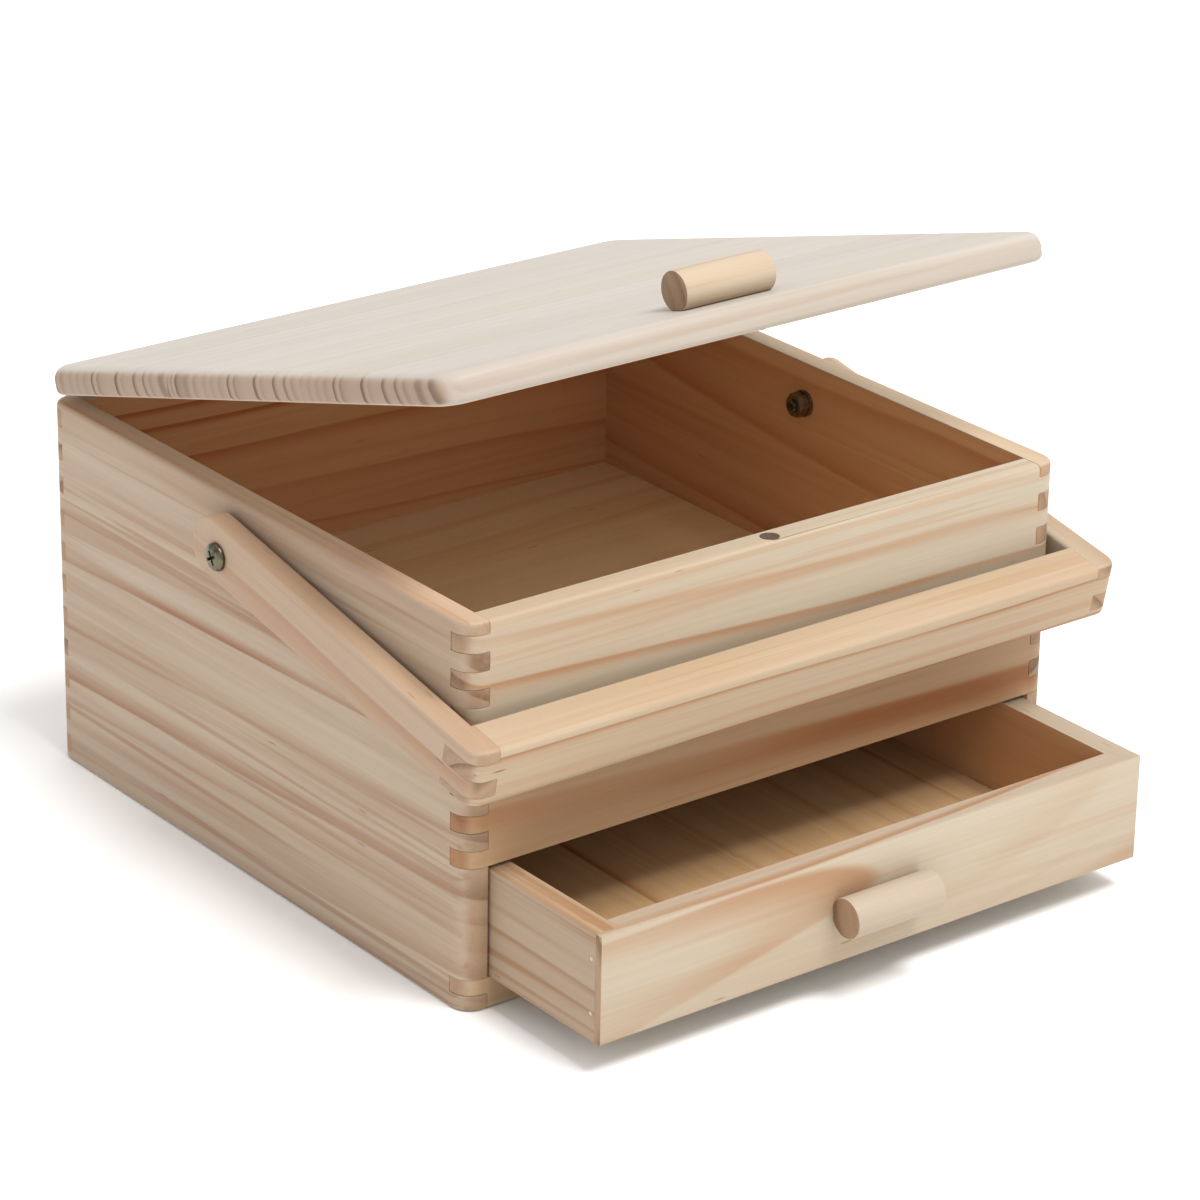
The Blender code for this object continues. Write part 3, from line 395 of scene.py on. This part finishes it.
# painted shade: the tops of the handle arms are tinted darker
looks("handle_arm_left", pine("pine_arm_left", HY, HZ, -X, mid("handle_arm_left"), pith=(-0.05, -0.03), spacing=0.0085,
                              seed=11.0, contrast=0.42, pale=srgb(210, 186, 162), tone=(0.65, 0.60, 0.58, 1.0), warmth=0.06,
                              side_light_paint=[(HZ, (0.95, 0.90, 0.84, 1.0))]), 0.0)
looks("handle_arm_right", pine("pine_arm_right", HY, HZ, X, mid("handle_arm_right"), pith=(-0.04, -0.03), spacing=0.0085,
                               seed=12.7, contrast=0.5, tone=(0.66, 0.68, 0.72, 1.0), warmth=0.0,
                              side_light_paint=[(HZ, (0.98, 0.97, 0.96, 1.0))]), 0.0)
looks("handle_crossbar", pine("pine_bar", X, HZ, -HY, mid("handle_crossbar"), pith=(-0.040, 0.022), spacing=0.0062,
                              seed=13.4, lean=(0.02, 0.02), contrast=0.95, flecks=0.9, tone=(0.665, 0.635, 0.62, 1.0),
                              late=srgb(196, 146, 100), warm=srgb(208, 168, 130), warmth=0.4,
                              threads=0.28), 0.0)

# ---------------------------------------------------------------- drawer
# painted light and shade on the drawer's top edges, and painted shade (darker, warmer) on the inner faces of its front,
# sides, back and bottom
looks("drawer_front", pine("pine_drawer_front", X, Z, -Y, mid("drawer_front"), pith=(0.012, -0.050), spacing=0.0100,
                           seed=14.8, threads=0.18, lean=(-0.11, 0.05), wander=0.008, contrast=0.78, warmth=0.05, late=srgb(198, 146, 100), top=0.0616,
                           inside_shading_paint=(Y, -0.0614 - 0.11285), inside_shading_tint=DRAWER_INSIDE_SHADE, side_light_paint=RIM_PAINTED_SHADE), 0.0)
looks("drawer_side_left", pine("pine_drawer_left", Y, Z, -X, mid("drawer_side_left"), pith=(-0.05, -0.04), spacing=0.0075,
                               seed=15.5, contrast=0.80, late=srgb(180, 136, 92), threads=0.6, warmth=0.0, pale=srgb(212, 192, 165), top=0.0616, inside_shading_paint=(X, -0.13255),
                               inside_shading_tint=DRAWER_INSIDE_SHADE, tone=(0.57, 0.52, 0.50, 1.0), side_light_paint=SIDE_RIM_LIGHT_PAINT), 0.0003)
looks("drawer_side_right", pine("pine_drawer_right", Y, Z, X, mid("drawer_side_right"), pith=(0.02, -0.06), spacing=0.0085,
                                seed=16.1, contrast=0.65, top=0.0616, inside_shading_paint=(-X, -0.13255),
                                inside_shading_tint=(0.82, 0.57, 0.40, 1.0), side_light_paint=RIM_PAINTED_SHADE), 0.0003)
looks("drawer_back", pine("pine_drawer_back", X, Z, Y, mid("drawer_back"), pith=(0.02, -0.05), seed=17.2, top=0.0616,
                          inside_shading_paint=(-Y, -(0.2156 - 0.11285)), inside_shading_tint=DRAWER_INSIDE_SHADE), 0.0003)
looks("drawer_bottom", pine("pine_drawer_bottom", Y, X, Z, mid("drawer_bottom"), pith=(0.03, -0.045), spacing=0.019,
                            seed=18.9, wander=0.003, contrast=0.85, streaks=0.4, pale=srgb(200, 180, 146),
                            late=srgb(160, 116, 76), sharp=True, inside_shading_paint=(Z, 0.0191),
                            inside_shading_tint=(0.90, 0.72, 0.56, 1.0)), 0.0002)
looks("drawer_pull", pine("pine_drawer_pull", X, Z, -Y, mid("drawer_pull"), pith=(0.006, 0.020), spacing=0.0085,
                          seed=19.6, contrast=0.5, end_tone=(0.80, 0.74, 0.70, 1.0), tone=(0.62, 0.62, 0.67, 1.0)), 0.0)

# ---------------------------------------------------------------- metal
nickel = metal("nickel_plate", srgb(106, 102, 84), 0.20, srgb(50, 46, 34), amount=0.8)
dark_nickel = metal("tarnished_nickel", srgb(142, 128, 106), 0.30, srgb(84, 70, 52), amount=0.5)
zinc = metal("zinc_plate", srgb(188, 188, 184), 0.32, srgb(140, 138, 128))
nail = metal("dull_nail", srgb(196, 182, 168), 0.5, srgb(160, 146, 132), flat=0.5)
brass = metal("dull_brass", srgb(196, 162, 98), 0.32, srgb(128, 98, 54), amount=0.45)
magnet = metal("magnet_coat", srgb(104, 88, 76), 0.50, srgb(72, 58, 48), amount=0.5, flat=0.55)
for name in nodes:
    if name.startswith(("pivot_bolt", "pivot_spacer")):
        looks(name, nickel, 0.0)
    elif name.startswith(("pivot_washer", "pivot_nut")):
        looks(name, dark_nickel, 0.0)
    elif name.startswith("hinge"):
        looks(name, brass, 0.0)
    elif "brad" in name:
        looks(name, nail, 0.0)
    elif "screw" in name:
        looks(name, zinc, 0.0)
    elif "magnet" in name:
        looks(name, magnet, 0.0)

# ================================================================ floor, light, camera
def floor_material():
    n = Net("studio_floor")
    p = n.coord("Object")
    speck = n.noise(p, scale=6.0, detail=3.0)
    colour = n.mix(n.span(speck, 0.3, 0.7, 0.0, 1.0), (0.955, 0.953, 0.949, 1.0), (0.97, 0.968, 0.965, 1.0))
    return n.finish(colour, 0.9, Specular_IOR_Level=0.1)


bm = bmesh.new()
bmesh.ops.create_grid(bm, x_segments=8, y_segments=8, size=14.0)
mesh = bpy.data.meshes.new("floor")
bm.to_mesh(mesh)
bm.free()
mesh.materials.append(floor_material())
floor = bpy.data.objects.new("floor", mesh)
floor.location = (0, 0, -0.0002)
bpy.context.scene.collection.objects.link(floor)

world = bpy.data.worlds.new("studio")
bpy.context.scene.world = world
world.use_nodes = True
sky = world.node_tree.nodes["Background"]
sky.inputs["Color"].default_value = (1.0, 1.0, 1.0, 1.0)
sky.inputs["Strength"].default_value = 0.91


def soft_light(name, at, aim, size, watts, colour=(1, 1, 1)):
    data = bpy.data.lights.new(name, "AREA")
    data.shape = "SQUARE"
    data.size = size
    data.energy = watts
    data.color = colour
    light = bpy.data.objects.new(name, data)
    light.location = at
    light.rotation_mode = "QUATERNION"
    light.rotation_quaternion = (Vector(aim) - Vector(at)).to_track_quat("-Z", "Y")
    bpy.context.scene.collection.objects.link(light)


soft_light("key", (0.47, -1.97, 4.45), (0, 0, 0.1), 1.9, 206.0, (1.0, 0.985, 0.965))

# The camera: azimuth -38, elevation 23, seen through a long lens.
AZ, EL, ROLL = math.radians(-37.98721), math.radians(22.92824), math.radians(1.06054)
back = Vector((math.sin(AZ) * math.cos(EL), -math.cos(AZ) * math.cos(EL), math.sin(EL)))
right = (-back).cross(Z).normalized()
up = right.cross(-back)
R = right * math.cos(ROLL) + up * math.sin(ROLL)
U = -right * math.sin(ROLL) + up * math.cos(ROLL)
target = Vector((0, 0.1144, 0.0832)) - R * 0.0009445 + U * 0.0190304 + Vector((0, -0.11285, 0))
place = target + back * 1.97713
data = bpy.data.cameras.new("camera")
data.sensor_width = 36.0
data.lens = 36.0 * 4580.15 / 1200.0
data.clip_start, data.clip_end = 0.05, 60.0
camera = bpy.data.objects.new("camera", data)
camera.matrix_world = Matrix(((R.x, U.x, back.x, place.x), (R.y, U.y, back.y, place.y), (R.z, U.z, back.z, place.z),
                              (0, 0, 0, 1)))
bpy.context.scene.collection.objects.link(camera)
bpy.context.scene.camera = camera
bpy.context.scene.view_settings.view_transform = "Standard"
